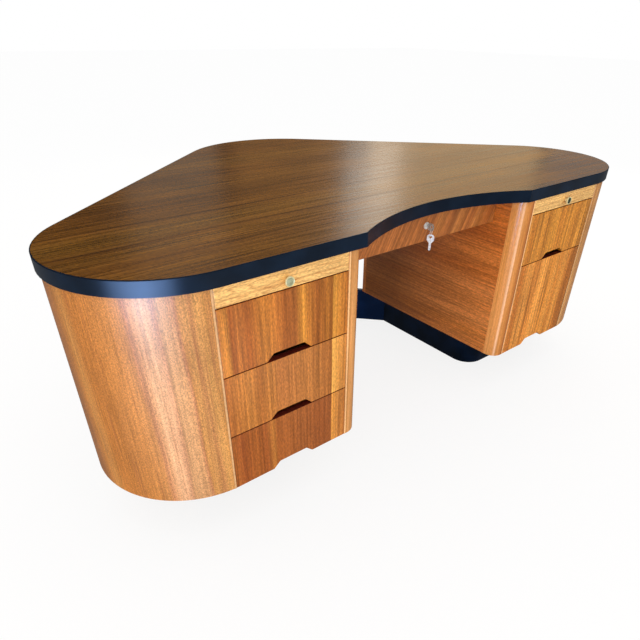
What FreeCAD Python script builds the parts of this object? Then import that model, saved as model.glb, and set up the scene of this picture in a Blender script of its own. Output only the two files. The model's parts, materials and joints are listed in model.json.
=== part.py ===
"""Executive desk with a rounded triangular top, two drawer pedestals and a pencil drawer.

The desk is drawn with x across its width, y from the sitter's edge to the back and z up from the floor.
Every size comes from the sheet "dims", in millimetres and degrees.
"""
import FreeCAD, Part
import math
import os

import Sketcher
from FreeCAD import Vector

doc = FreeCAD.newDocument("executive_desk")
dims = doc.addObject("Spreadsheet::Sheet", "dims")

RIGHT = 1
LEFT = -1
SIDE_NAMES = {LEFT: "left", RIGHT: "right"}
TINY = 1e-6


# Sizes that carry their sheet formula

class Size:
    """A number together with the sheet formula that gives it."""

    def __init__(self, value, formula):
        self.value = value
        self.formula = formula

    def __add__(self, other):
        other = as_size(other)
        return Size(self.value + other.value, "(%s + %s)" % (self.formula, other.formula))

    def __sub__(self, other):
        other = as_size(other)
        return Size(self.value - other.value, "(%s - %s)" % (self.formula, other.formula))

    def __mul__(self, other):
        other = as_size(other)
        return Size(self.value * other.value, "(%s * %s)" % (self.formula, other.formula))

    def __truediv__(self, other):
        other = as_size(other)
        return Size(self.value / other.value, "(%s / %s)" % (self.formula, other.formula))

    def __neg__(self):
        return Size(-self.value, "(-1 * %s)" % self.formula)


def as_size(number):
    """Take a plain number as a size."""
    if isinstance(number, Size):
        return number
    return Size(float(number), repr(number))


def sine(angle):
    return Size(math.sin(math.radians(angle.value)), "sin(%s)" % angle.formula)


def cosine(angle):
    return Size(math.cos(math.radians(angle.value)), "cos(%s)" % angle.formula)


def arcsine(ratio):
    return Size(math.degrees(math.asin(ratio.value)), "asin(%s)" % ratio.formula)


def other_leg(hypotenuse, leg):
    """Third side of a right-angled triangle."""
    value = math.sqrt(hypotenuse.value ** 2 - leg.value ** 2)
    return Size(value, "sqrt(%s ^ 2 - %s ^ 2)" % (hypotenuse.formula, leg.formula))


def tangent_angle(across, along, difference):
    """Direction of the normal of the line that touches two circles on their outer side.

    across and along lead from the first centre to the second, difference is the first radius less the second.
    """
    reach = math.hypot(across.value, along.value)
    value = math.degrees(math.atan2(along.value, across.value) - math.acos(difference.value / reach))
    formula = "(atan2(%s; %s) - acos(%s / hypot(%s; %s)))" % (
        along.formula, across.formula, difference.formula, across.formula, along.formula)
    return Size(value, formula)


sheet_rows = []


def size(alias, value):
    """Put a driving dimension into the sheet and return it."""
    sheet_rows.append(alias)
    row = len(sheet_rows)
    dims.set("A%d" % row, alias)
    dims.set("B%d" % row, str(value))
    dims.setAlias("B%d" % row, alias)
    return Size(float(value), "dims." + alias)


ZERO = as_size(0)

# The top in plan, and its height
desk_height = size("desk_height", 762)
top_thickness = size("top_thickness", 37)
lobe_radius = size("lobe_radius", 285)
apex_centre_y = size("apex_centre_y", 864)
apex_radius = size("apex_radius", 362)
bite_half_width = size("bite_half_width", 338)
bite_depth = size("bite_depth", 92)
band_thickness = size("band_thickness", 3)
band_bevel = size("band_bevel", 1.5)

# The pedestals
front_setback = size("front_setback", 8)
plinth_height = size("plinth_height", 150)
knee_half_width = size("knee_half_width", 334.5)
rear_corner_y = size("rear_corner_y", 756)
wall_thickness = size("wall_thickness", 18)
panel_thickness = size("panel_thickness", 18)
post_width = size("post_width", 48)
post_flat = size("post_flat", 6)
post_back = size("post_back", 8)
lipping_width = size("lipping_width", 5)
bay_width = size("bay_width", 368)
bay_rear_gap = size("bay_rear_gap", 30)
wall_clearance = size("wall_clearance", 1.3)
lobe_offset = size("lobe_offset", 24.5)
bottom_setback = size("bottom_setback", 80)

# The plinth
toe_recess = size("toe_recess", 162)
knee_recess = size("knee_recess", 82.5)
plinth_corner_radius = size("plinth_corner_radius", 78)
plinth_wall = size("plinth_wall", 18)
rear_board_angle = size("rear_board_angle", 46.1)
rear_board_nose_radius = size("rear_board_nose_radius", 177)

# Drawer and slide fronts
front_thickness = size("front_thickness", 20)
front_gap = size("front_gap", 2.5)
front_bevel = size("front_bevel", 1.2)
slide_space = size("slide_space", 51.5)
lowest_front_cut = size("lowest_front_cut", 4.5)
pull_width = size("pull_width", 130)
pull_top_width = size("pull_top_width", 90)
pull_height = size("pull_height", 18.5)
pull_corner_radius = size("pull_corner_radius", 8)

# Drawer boxes and what they run on
box_side_clearance = size("box_side_clearance", 4)
box_board = size("box_board", 13)
box_rear_gap = size("box_rear_gap", 22)
box_headroom = size("box_headroom", 22)
bottom_board = size("bottom_board", 6)
groove_depth = size("groove_depth", 5)
groove_height = size("groove_height", 9)
groove_clearance = size("groove_clearance", 0.1)
runner_height = size("runner_height", 12)
runner_width = size("runner_width", 24)
running_gap = size("running_gap", 0.3)

# Writing slides
slide_board_thickness = size("slide_board_thickness", 18)
slide_side_clearance = size("slide_side_clearance", 2)
dust_board_thickness = size("dust_board_thickness", 12)
knob_diameter = size("knob_diameter", 25)
knob_thickness = size("knob_thickness", 6)
knob_dish = size("knob_dish", 1.5)
knob_reach = size("knob_reach", 14)
knob_drop = size("knob_drop", 4)
knob_stem_diameter = size("knob_stem_diameter", 11)

# Pencil drawer
pencil_front_y = size("pencil_front_y", 116)
pencil_front_height = size("pencil_front_height", 88)
pencil_side_gap = size("pencil_side_gap", 2)
pencil_box_length = size("pencil_box_length", 400)
pencil_box_headroom = size("pencil_box_headroom", 2)
pencil_box_raise = size("pencil_box_raise", 17)

# Lock and keys
lock_drop = size("lock_drop", 40)
lock_body_diameter = size("lock_body_diameter", 17)
lock_rim_diameter = size("lock_rim_diameter", 21)
lock_rim_thickness = size("lock_rim_thickness", 3)
lock_tail = size("lock_tail", 4)
lock_hole_clearance = size("lock_hole_clearance", 0.1)
plug_diameter = size("plug_diameter", 12)
plug_clearance = size("plug_clearance", 0.05)
cam_headroom = size("cam_headroom", 6)
cam_width = size("cam_width", 12)
cam_thickness = size("cam_thickness", 2.5)
strike_width = size("strike_width", 36)
strike_drop = size("strike_drop", 17)
strike_leg = size("strike_leg", 20)
strike_thickness = size("strike_thickness", 2)
key_tip_gap = size("key_tip_gap", 4)
key_thickness = size("key_thickness", 2.2)
key_bow_width = size("key_bow_width", 22)
key_bow_length = size("key_bow_length", 18)
key_shoulder = size("key_shoulder", 9)
key_blade_width = size("key_blade_width", 6.8)
key_hole_diameter = size("key_hole_diameter", 8)
key_hole_inset = size("key_hole_inset", 8)
keyway_clearance = size("keyway_clearance", 0.15)
ring_diameter = size("ring_diameter", 24)
ring_wire = size("ring_wire", 1.5)
ring_turn = size("ring_turn", 28)
ring_clearance = size("ring_clearance", 0.9)

# Places worked out from the sizes
case_top = desk_height - top_thickness
case_bottom = plinth_height
desk_depth = apex_centre_y + apex_radius
knob_front_y = front_setback - knob_reach
frame_shift = (desk_depth + knob_front_y) / 2

post_radius = post_width - post_flat
post_outer_x = knee_half_width + post_width
bay_inner_x = post_outer_x + lipping_width
bay_outer_x = bay_inner_x + bay_width
bay_centre_x = (bay_inner_x + bay_outer_x) / 2
seam_x = bay_outer_x + lipping_width
lobe_centre_x = seam_x - lobe_offset
front_back_y = front_setback + front_thickness
bay_front_y = front_setback + post_radius + post_back

wall_radius = lobe_radius - front_setback
wall_inner_radius = wall_radius - wall_thickness
back_edge_angle = tangent_angle(-lobe_centre_x, apex_centre_y - lobe_radius, lobe_radius - apex_radius)
wall_angle = tangent_angle(knee_half_width - lobe_centre_x, rear_corner_y - lobe_radius, wall_radius)


def wall_line_y(radius, x):
    """Where the straight stretch of the outer wall, at a radius about the round end, passes x."""
    return (radius - (x - lobe_centre_x) * cosine(wall_angle)) / sine(wall_angle) + lobe_radius


# The outer bay side stands inside the round wall, clear of it at both ends.
bay_side_x = bay_outer_x + panel_thickness
round_wall_y = lobe_radius - other_leg(wall_inner_radius, bay_side_x - lobe_centre_x)
outer_bay_front_y = round_wall_y + wall_clearance
bay_rear_y = wall_line_y(wall_inner_radius, bay_side_x) - bay_rear_gap
box_rear_y = bay_rear_y - box_rear_gap

# The left drawers share the height under the slide, and the right ones line up with them.
LEFT_DRAWERS = ("left_top_drawer", "left_middle_drawer", "left_lower_drawer")
slide_level = case_top - slide_space
drawer_pitch = (slide_level - case_bottom + lowest_front_cut) / len(LEFT_DRAWERS)
box_raise = panel_thickness + runner_height + running_gap


def front_level(first, last):
    """Height span of a front that covers the drawer spaces from first up to, but not with, last."""
    high = slide_level - drawer_pitch * first - front_gap / 2
    if last == len(LEFT_DRAWERS):
        return case_bottom, high
    return slide_level - drawer_pitch * last + front_gap / 2, high


# Drawing helpers

def bind(feature, path, length):
    """Tie a property to the sheet."""
    feature.setExpression(path, length.formula)


def place(feature, x, y, z):
    """Tie a piece's place to the sheet, with the frame's origin under the middle of the desk."""
    bind(feature, "Placement.Base.x", x)
    bind(feature, "Placement.Base.y", y - frame_shift)
    bind(feature, "Placement.Base.z", z)


def mirrored(side, low, high):
    """Give the x span of a piece of the right pedestal, or of its mirror image."""
    if side == RIGHT:
        return low, high
    return -high, -low


def board(name, x, y, z):
    """Make a plain board from its spans along x, y and z."""
    piece = doc.addObject("Part::Box", name)
    for path, span in (("Length", x), ("Width", y), ("Height", z)):
        bind(piece, path, span[1] - span[0])
    place(piece, x[0], y[0], z[0])
    return piece


def group(name, pieces):
    """Gather like pieces into one sub-part."""
    gathered = doc.addObject("Part::Compound", name)
    gathered.Links = pieces
    return gathered


def new_body(name, x=ZERO, y=ZERO, z=ZERO):
    body = doc.addObject("PartDesign::Body", name)
    place(body, x, y, z)
    return body


def new_sketch(body, plane):
    """Start a sketch on one of the body's own origin planes."""
    sketch = body.newObject("Sketcher::SketchObject", body.Name + "_sketch")
    support = [feature for feature in body.Origin.OriginFeatures if feature.Role == plane]
    sketch.AttachmentSupport = [(support[0], "")]
    sketch.MapMode = "FlatFace"
    return sketch


def pad(body, sketch, length, backwards=False, both_ways=False):
    feature = body.newObject("PartDesign::Pad", body.Name + "_pad")
    feature.Profile = sketch
    feature.Reversed = backwards
    if both_ways:
        feature.SideType = "Symmetric"
    bind(feature, "Length", length)
    return feature


def pocket(body, sketch, length, backwards=False, both_ways=False):
    feature = body.newObject("PartDesign::Pocket", body.Name + "_pocket")
    feature.Profile = sketch
    feature.Reversed = backwards
    if both_ways:
        feature.SideType = "Symmetric"
    bind(feature, "Length", length)
    return feature


def revolve(body, sketch):
    """Turn a sketch drawn beside its upright axis into a round piece."""
    feature = body.newObject("PartDesign::Revolution", body.Name + "_turned")
    feature.Profile = sketch
    feature.ReferenceAxis = (sketch, ["V_Axis"])
    feature.Angle = 360
    return feature


EASED_BY = {"Fillet": "Radius", "Chamfer": "Size"}


def ease(body, base, kind, length, wanted):
    """Round or bevel the edges of a feature that pass the wanted test."""
    doc.recompute()
    edges = base.Shape.Edges
    names = ["Edge%d" % (number + 1) for number, edge in enumerate(edges) if wanted(edge)]
    feature = body.newObject("PartDesign::" + kind, base.Name + "_eased")
    feature.Base = (base, names)
    bind(feature, EASED_BY[kind], length)
    return feature


def datum(sketch, constraint, length):
    """Add a dimension to a sketch and tie it to the sheet."""
    index = sketch.addConstraint(constraint)
    sketch.setExpression("Constraints[%d]" % index, length.formula)


def pin(sketch, axis, geometry, point, distance):
    """Hold a point at a distance from the sketch's origin along x or y."""
    axis_line = {"X": -2, "Y": -1}[axis]
    if abs(distance.value) < TINY:
        sketch.addConstraint(Sketcher.Constraint("PointOnObject", geometry, point, axis_line))
    elif distance.value > 0:
        across = Sketcher.Constraint("Distance" + axis, -1, 1, geometry, point, distance.value)
        datum(sketch, across, distance)
    else:
        across = Sketcher.Constraint("Distance" + axis, geometry, point, -1, 1, -distance.value)
        datum(sketch, across, -distance)


def circle(sketch, x, y, radius):
    """Draw a full circle, such as a hole."""
    centre = Vector(x.value, y.value, 0)
    geometry = sketch.addGeometry(Part.Circle(centre, Vector(0, 0, 1), radius.value))
    datum(sketch, Sketcher.Constraint("Radius", geometry, radius.value), radius)
    pin(sketch, "X", geometry, 3, x)
    pin(sketch, "Y", geometry, 3, y)


class Corner:
    """A sharp corner of an outline."""

    def __init__(self, x, y):
        self.x = x
        self.y = y
        self.first = Vector(x.value, y.value, 0)
        self.last = self.first


class Arc:
    """A round stretch of an outline, from one angle to another about its centre."""

    def __init__(self, x, y, radius, begin, end, begin_pin, end_pin):
        self.x = x
        self.y = y
        self.radius = radius
        self.begin = begin
        self.end = end
        self.pins = (begin_pin, end_pin)
        self.first = self.point(begin)
        self.last = self.point(end)

    def point(self, angle):
        turn = math.radians(angle)
        reach = self.radius.value
        return Vector(self.x.value + reach * math.cos(turn), self.y.value + reach * math.sin(turn), 0)

    def heading(self, angle):
        turn = math.radians(angle)
        way = math.copysign(1, self.end - self.begin)
        return Vector(-math.sin(turn) * way, math.cos(turn) * way, 0)


class Outline:
    """One closed outline: corners and arcs in order, joined by straight edges where they don't meet.

    side is LEFT to draw the mirror image.
    """

    def __init__(self, sketch, side=RIGHT):
        self.sketch = sketch
        self.side = side
        self.stops = []

    def flipped(self, x):
        return x if self.side == RIGHT else -x

    def corner(self, x, y):
        self.stops.append(Corner(self.flipped(x), y))

    def arc(self, x, y, radius, begin, end, begin_pin=None, end_pin=None):
        """Pins such as ("X", size) hold an end of the arc that meets its neighbour at a corner."""
        pins = []
        for held in (begin_pin, end_pin):
            if held and held[0] == "X":
                held = ("X", self.flipped(held[1]))
            pins.append(held)
        if self.side == LEFT:
            begin, end = 180 - begin, 180 - end
        self.stops.append(Arc(self.flipped(x), y, radius, begin, end, *pins))

    def close(self):
        edges = []
        pins = []
        for stop, following in zip(self.stops, self.stops[1:] + self.stops[:1]):
            if isinstance(stop, Arc):
                edges.append(self.add_arc(stop, pins))
            if (following.first - stop.last).Length > TINY:
                edges.append(self.add_line(stop, following, pins))
        for edge, following in zip(edges, edges[1:] + edges[:1]):
            smooth = (edge["last_heading"] - following["first_heading"]).Length < TINY
            kind = "Tangent" if smooth else "Coincident"
            self.sketch.addConstraint(Sketcher.Constraint(
                kind, edge["number"], edge["last_point"], following["number"], following["first_point"]))
        for axis, geometry, point, distance in pins:
            pin(self.sketch, axis, geometry, point, distance)

    def add_arc(self, stop, pins):
        low, high = sorted((stop.begin, stop.end))
        centre = Vector(stop.x.value, stop.y.value, 0)
        whole = Part.Circle(centre, Vector(0, 0, 1), stop.radius.value)
        number = self.sketch.addGeometry(Part.ArcOfCircle(whole, math.radians(low), math.radians(high)))
        first_point, last_point = (1, 2) if stop.end > stop.begin else (2, 1)
        datum(self.sketch, Sketcher.Constraint("Radius", number, stop.radius.value), stop.radius)
        pins.append(("X", number, 3, stop.x))
        pins.append(("Y", number, 3, stop.y))
        for point, held in zip((first_point, last_point), stop.pins):
            if held:
                pins.append((held[0], number, point, held[1]))
        return {"number": number, "first_point": first_point, "last_point": last_point,
                "first_heading": stop.heading(stop.begin), "last_heading": stop.heading(stop.end)}

    def add_line(self, stop, following, pins):
        number = self.sketch.addGeometry(Part.LineSegment(stop.last, following.first))
        heading = (following.first - stop.last).normalize()
        if isinstance(stop, Corner):
            pins.append(("X", number, 1, stop.x))
            pins.append(("Y", number, 1, stop.y))
        return {"number": number, "first_point": 1, "last_point": 2,
                "first_heading": heading, "last_heading": heading}


def rectangle(sketch, x, y):
    """Draw a rectangle from its spans along the sketch's x and y."""
    outline = Outline(sketch)
    outline.corner(x[0], y[0])
    outline.corner(x[1], y[0])
    outline.corner(x[1], y[1])
    outline.corner(x[0], y[1])
    outline.close()


# The top: a veneered panel with a black band round its edge

bite_radius = (bite_half_width * bite_half_width + bite_depth * bite_depth) / (bite_depth * 2)
bite_centre_y = bite_depth - bite_radius
bite_band_radius = bite_radius + band_thickness
bite_sweep = arcsine(bite_half_width / bite_radius) * 2
panel_corner_x = other_leg(bite_band_radius, band_thickness - bite_centre_y)
bite_end_x = bite_half_width * bite_band_radius / bite_radius
bite_end_y = bite_centre_y - bite_centre_y * bite_band_radius / bite_radius


def top_rim(outline, inset, clockwise=False):
    """Add the round ends and the apex of the top's edge, in order, at an inset from the true edge."""
    turn = back_edge_angle.value
    stretches = [
        (lobe_centre_x, lobe_radius, lobe_radius - inset, -90, turn),
        (ZERO, apex_centre_y, apex_radius - inset, turn, 180 - turn),
        (-lobe_centre_x, lobe_radius, lobe_radius - inset, 180 - turn, 270),
    ]
    if clockwise:
        stretches = [(x, y, radius, end, begin) for x, y, radius, begin, end in reversed(stretches)]
    for x, y, radius, begin, end in stretches:
        outline.arc(x, y, radius, begin, end)


def on_true_edge(edge):
    """Tell whether an edge of the band lies on the top's outermost line."""
    start, end = edge.ParameterRange
    spot = edge.valueAt((start + end) / 2)
    apex = Vector(0, apex_centre_y.value, spot.z)
    lobe = Vector(math.copysign(lobe_centre_x.value, spot.x), lobe_radius.value, spot.z)
    turn = math.radians(back_edge_angle.value)
    slope = Vector(math.copysign(math.cos(turn), spot.x), math.sin(turn), 0)
    misses = (spot.y,
              (spot - lobe).Length - lobe_radius.value,
              (spot - apex).Length - apex_radius.value,
              (spot - apex).dot(slope) - apex_radius.value)
    return min(abs(miss) for miss in misses) < TINY * top_thickness.value


def at_height(edge, height):
    return all(abs(vertex.Z - height) < TINY for vertex in edge.Vertexes)


def make_top_panel():
    body = new_body("top_panel", z=case_top)
    sketch = new_sketch(body, "XY_Plane")
    outline = Outline(sketch)
    top_rim(outline, band_thickness)
    corner = math.degrees(math.acos(panel_corner_x.value / bite_band_radius.value))
    front = ("Y", band_thickness)
    outline.arc(ZERO, bite_centre_y, bite_band_radius, 180 - corner, corner, front, front)
    outline.close()
    pad(body, sketch, top_thickness)
    return body


def make_outer_band():
    """The band from one corner of the bite round the back to the other."""
    body = new_body("edge_band_outer", z=case_top)
    sketch = new_sketch(body, "XY_Plane")
    outline = Outline(sketch)
    outline.corner(bite_end_x, bite_end_y)
    outline.corner(bite_half_width, ZERO)
    top_rim(outline, ZERO)
    outline.corner(-bite_half_width, ZERO)
    outline.corner(-bite_end_x, bite_end_y)
    outline.corner(-panel_corner_x, band_thickness)
    top_rim(outline, band_thickness, clockwise=True)
    outline.corner(panel_corner_x, band_thickness)
    outline.close()
    solid = pad(body, sketch, top_thickness)
    ease(body, solid, "Chamfer", band_bevel,
         lambda edge: at_height(edge, top_thickness.value) and on_true_edge(edge))
    return body


def make_bite_band():
    """The band along the bite: a strip with a bevelled arris, turned about the bite's centre."""
    body = new_body("edge_band_bite", y=bite_centre_y, z=case_top)
    sketch = new_sketch(body, "YZ_Plane")
    outline = Outline(sketch)
    outline.corner(bite_radius, ZERO)
    outline.corner(bite_band_radius, ZERO)
    outline.corner(bite_band_radius, top_thickness)
    outline.corner(bite_radius + band_bevel, top_thickness)
    outline.corner(bite_radius, top_thickness - band_bevel)
    outline.close()
    strip = revolve(body, sketch)
    strip.Midplane = True
    bind(strip, "Angle", bite_sweep)
    return body


# The pedestals: bent outer wall, inner side, post, lippings, bay sides and bottom

def angle_at_x(radius, x):
    """Angle about the round end's centre of its front point at x."""
    return -math.degrees(math.acos((x - lobe_centre_x).value / radius.value))


def make_outer_wall(side):
    """A sheet bent round the end of the desk, straight from there to the rear corner."""
    body = new_body(SIDE_NAMES[side] + "_outer_wall", z=case_bottom)
    sketch = new_sketch(body, "XY_Plane")
    turn = wall_angle.value
    outline = Outline(sketch, side)
    outline.arc(lobe_centre_x, lobe_radius, wall_radius, angle_at_x(wall_radius, seam_x), turn,
                begin_pin=("X", seam_x))
    outline.corner(knee_half_width, rear_corner_y)
    outline.corner(knee_half_width, wall_line_y(wall_inner_radius, knee_half_width))
    outline.arc(lobe_centre_x, lobe_radius, wall_inner_radius, turn, angle_at_x(wall_inner_radius, seam_x),
                end_pin=("X", seam_x))
    outline.close()
    pad(body, sketch, case_top - case_bottom)
    return body


def make_inner_side(side):
    """The knee-side panel, cut off on the slant where it meets the outer wall."""
    body = new_body(SIDE_NAMES[side] + "_inner_side", z=case_bottom)
    sketch = new_sketch(body, "XY_Plane")
    inner_face = knee_half_width + panel_thickness
    outline = Outline(sketch, side)
    outline.corner(knee_half_width, bay_front_y)
    outline.corner(inner_face, bay_front_y)
    outline.corner(inner_face, wall_line_y(wall_inner_radius, inner_face))
    outline.corner(knee_half_width, wall_line_y(wall_inner_radius, knee_half_width))
    outline.close()
    pad(body, sketch, case_top - case_bottom)
    return body


def make_corner_post(side):
    body = new_body(SIDE_NAMES[side] + "_corner_post", z=case_bottom)
    sketch = new_sketch(body, "XY_Plane")
    outline = Outline(sketch, side)
    outline.arc(knee_half_width + post_radius, front_setback + post_radius, post_radius, 180, 270)
    outline.corner(post_outer_x, front_setback)
    outline.corner(post_outer_x, bay_front_y)
    outline.corner(knee_half_width, bay_front_y)
    outline.close()
    pad(body, sketch, case_top - case_bottom)
    return body


def make_lippings(side):
    name = SIDE_NAMES[side] + "_lippings"
    inner = board(name + "_inner", mirrored(side, post_outer_x, bay_inner_x),
                  (front_setback, bay_front_y), (case_bottom, case_top))
    outer = board(name + "_outer", mirrored(side, bay_outer_x, seam_x),
                  (front_setback, outer_bay_front_y), (case_bottom, case_top))
    return group(name, [inner, outer])


def make_bay_sides(side):
    """The two upright boards that carry the runners."""
    level = (case_bottom + panel_thickness, case_top)
    inner = board(SIDE_NAMES[side] + "_bay_inner", mirrored(side, bay_inner_x - panel_thickness, bay_inner_x),
                  (bay_front_y, bay_rear_y), level)
    outer = board(SIDE_NAMES[side] + "_bay_outer", mirrored(side, bay_outer_x, bay_outer_x + panel_thickness),
                  (outer_bay_front_y, bay_rear_y), level)
    return [inner, outer]


def make_bottom(side):
    """The floor of the pedestal, kept back from the fronts so that fingers reach the lowest pull."""
    body = new_body(SIDE_NAMES[side] + "_bottom", z=case_bottom)
    sketch = new_sketch(body, "XY_Plane")
    inner_face = knee_half_width + panel_thickness
    front = front_setback + bottom_setback
    start = math.degrees(math.asin((front - lobe_radius).value / wall_inner_radius.value))
    outline = Outline(sketch, side)
    outline.corner(inner_face, front)
    outline.arc(lobe_centre_x, lobe_radius, wall_inner_radius, start, wall_angle.value, begin_pin=("Y", front))
    outline.corner(inner_face, wall_line_y(wall_inner_radius, inner_face))
    outline.close()
    pad(body, sketch, panel_thickness)
    return body


# The plinth: a frame under each pedestal and a bent board that ties them behind the knee space

plinth_front_y = front_setback + toe_recess
plinth_inner_x = knee_half_width + knee_recess
plinth_lobe_radius = lobe_radius - plinth_front_y


def rear_board_y(radius, x):
    """Where the slanting stretch of the rear board, at a radius about its nose, passes x."""
    return (radius - x * sine(rear_board_angle)) / cosine(rear_board_angle) + apex_centre_y


rear_board_outer_radius = rear_board_nose_radius + plinth_wall
plinth_rear_y = rear_board_y(rear_board_outer_radius, plinth_inner_x)
plinth_angle = tangent_angle(plinth_inner_x - lobe_centre_x, plinth_rear_y - lobe_radius, plinth_lobe_radius)


def plinth_outline(sketch, side, inset):
    inner_x = plinth_inner_x + inset
    front_y = plinth_front_y + inset
    radius = plinth_corner_radius - inset
    lobe = plinth_lobe_radius - inset
    rear_y = (lobe - (inner_x - lobe_centre_x) * cosine(plinth_angle)) / sine(plinth_angle) + lobe_radius
    outline = Outline(sketch, side)
    outline.arc(inner_x + radius, front_y + radius, radius, 180, 270)
    outline.arc(lobe_centre_x, lobe_radius, lobe, -90, plinth_angle.value)
    outline.corner(inner_x, rear_y)
    outline.close()


def make_plinth(side):
    body = new_body("plinth_" + SIDE_NAMES[side])
    sketch = new_sketch(body, "XY_Plane")
    plinth_outline(sketch, side, ZERO)
    plinth_outline(sketch, side, plinth_wall)
    pad(body, sketch, plinth_height)
    return body


def make_rear_plinth():
    """A board bent round a nose under the apex of the top, with straight arms to both pedestals."""
    body = new_body("plinth_rear")
    sketch = new_sketch(body, "XY_Plane")
    turn = 90 - rear_board_angle.value
    front_y = rear_board_y(rear_board_nose_radius, plinth_inner_x)
    outline = Outline(sketch)
    outline.corner(plinth_inner_x, front_y)
    outline.corner(plinth_inner_x, plinth_rear_y)
    outline.arc(ZERO, apex_centre_y, rear_board_outer_radius, turn, 180 - turn)
    outline.corner(-plinth_inner_x, plinth_rear_y)
    outline.corner(-plinth_inner_x, front_y)
    outline.arc(ZERO, apex_centre_y, rear_board_nose_radius, 180 - turn, turn)
    outline.close()
    pad(body, sketch, plinth_height)
    return body


# Fronts: veneered boards with bevelled arrises and a finger pull cut into the lower edge

def in_front_plane(edge):
    return all(abs(vertex.Y) < TINY for vertex in edge.Vertexes)


def runs_back(edge):
    first, last = edge.firstVertex(), edge.lastVertex()
    return abs(first.Y - last.Y) > TINY


def make_drawer_front(name, side, level):
    """A drawer front over its span of height, with the pull in the middle of its lower edge."""
    body = new_body(name, y=front_setback)
    sketch = new_sketch(body, "XZ_Plane")
    low, high = level
    outline = Outline(sketch, side)
    outline.corner(bay_inner_x + front_gap / 2, low)
    outline.corner(bay_centre_x - pull_width / 2, low)
    outline.corner(bay_centre_x - pull_top_width / 2, low + pull_height)
    outline.corner(bay_centre_x + pull_top_width / 2, low + pull_height)
    outline.corner(bay_centre_x + pull_width / 2, low)
    outline.corner(bay_outer_x - front_gap / 2, low)
    outline.corner(bay_outer_x - front_gap / 2, high)
    outline.corner(bay_inner_x + front_gap / 2, high)
    outline.close()
    solid = pad(body, sketch, front_thickness, backwards=True)
    pull_reach = (pull_width / 2).value + TINY

    def at_pull(edge):
        return runs_back(edge) and abs(abs(edge.firstVertex().X) - bay_centre_x.value) < pull_reach

    cornered = ease(body, solid, "Fillet", pull_corner_radius, at_pull)
    ease(body, cornered, "Chamfer", front_bevel, in_front_plane)
    return body


def make_plain_front(name, x, y, z, hole=None):
    """A front with no pull. hole is the x, z and radius of a round hole through it."""
    body = new_body(name, y=y)
    sketch = new_sketch(body, "XZ_Plane")
    rectangle(sketch, x, z)
    if hole:
        circle(sketch, *hole)
    solid = pad(body, sketch, front_thickness, backwards=True)

    def outer_arris(edge):
        return in_front_plane(edge) and not hasattr(edge.Curve, "Radius")

    ease(body, solid, "Chamfer", front_bevel, outer_arris)
    return body


# Drawer boxes: two grooved sides, a grooved back and a thin bottom slid into the grooves

def grooved_board(name, x, y, z, groove_x, groove_y):
    """A board of a drawer box with the groove for the bottom cut along it."""
    whole = board(name + "_board", x, y, z)
    groove_low = z[0] + groove_height
    slot = board(name + "_groove", groove_x, groove_y,
                 (groove_low, groove_low + bottom_board + groove_clearance * 2))
    cut = doc.addObject("Part::Cut", name)
    cut.Base = whole
    cut.Tool = slot
    return cut


def make_drawer_box(name, x, y, z):
    """A box of outer spans x, y and z behind a front, and its bottom."""
    sides_y = (y[0], y[1])
    inner_x = (x[0] + box_board, x[1] - box_board)
    groove_x = (inner_x[0] - groove_depth, inner_x[1] + groove_depth)
    back_y = (y[1] - box_board, y[1])
    groove_y = (y[0], back_y[0] + groove_depth)
    pieces = [
        grooved_board(name + "_side_a", (x[0], inner_x[0]), sides_y, z, groove_x, groove_y),
        grooved_board(name + "_side_b", (inner_x[1], x[1]), sides_y, z, groove_x, groove_y),
        grooved_board(name + "_back", inner_x, back_y, z, groove_x, groove_y),
    ]
    box = group(name + "_box", pieces)
    bottom_low = z[0] + groove_height + groove_clearance
    bottom = board(name + "_bottom",
                   (groove_x[0] + groove_clearance, groove_x[1] - groove_clearance),
                   (groove_y[0], groove_y[1] - groove_clearance),
                   (bottom_low, bottom_low + bottom_board))
    return [box, bottom]


def make_drawer(name, side, level):
    """A pedestal drawer whose front covers a span of height."""
    low, high = level
    front = make_drawer_front(name + "_front", side, level)
    box_x = mirrored(side, bay_inner_x + box_side_clearance, bay_outer_x - box_side_clearance)
    box_y = (front_back_y, box_rear_y)
    box_z = (low + box_raise, high - box_headroom)
    return [front] + make_drawer_box(name, box_x, box_y, box_z)


def make_runners(side, levels):
    """A pair of rails on the bay sides under each drawer, given the height spans of the fronts."""
    name = SIDE_NAMES[side] + "_runners"
    rails = []
    for number, (low, high) in enumerate(levels):
        top = low + box_raise - running_gap
        level = (top - runner_height, top)
        span = (front_setback + bottom_setback, bay_rear_y)
        inner = mirrored(side, bay_inner_x, bay_inner_x + runner_width)
        outer = mirrored(side, bay_outer_x - runner_width, bay_outer_x)
        rails.append(board("%s_inner_%d" % (name, number), inner, span, level))
        rails.append(board("%s_outer_%d" % (name, number), outer, span, level))
    return group(name, rails)


# Writing slides: a board that pulls out under the top, its front strip, its knob and its guides

slide_front_level = (slide_level + front_gap / 2, case_top - front_gap / 2)
slide_board_level = (slide_front_level[1] - slide_board_thickness, slide_front_level[1])
slide_y = (front_back_y, box_rear_y)


def make_knob(side):
    """A turned brass knob with a dished face on a plain stem, set a little below the strip's middle."""
    knob_z = (slide_front_level[0] + slide_front_level[1]) / 2 - knob_drop
    knob_x = bay_centre_x if side == RIGHT else -bay_centre_x
    body = new_body(SIDE_NAMES[side] + "_slide_knob", x=knob_x, y=front_setback, z=knob_z)
    sketch = new_sketch(body, "XY_Plane")
    rim = knob_thickness / 3
    outline = Outline(sketch)
    outline.corner(ZERO, ZERO)
    outline.corner(ZERO, knob_dish - knob_reach)
    outline.corner(knob_diameter / 2 - rim, -knob_reach)
    outline.corner(knob_diameter / 2, rim - knob_reach)
    outline.corner(knob_diameter / 2, rim * 2 - knob_reach)
    outline.corner(knob_stem_diameter / 2, knob_thickness - knob_reach)
    outline.corner(knob_stem_diameter / 2, ZERO)
    outline.close()
    revolve(body, sketch)
    return body


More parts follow.
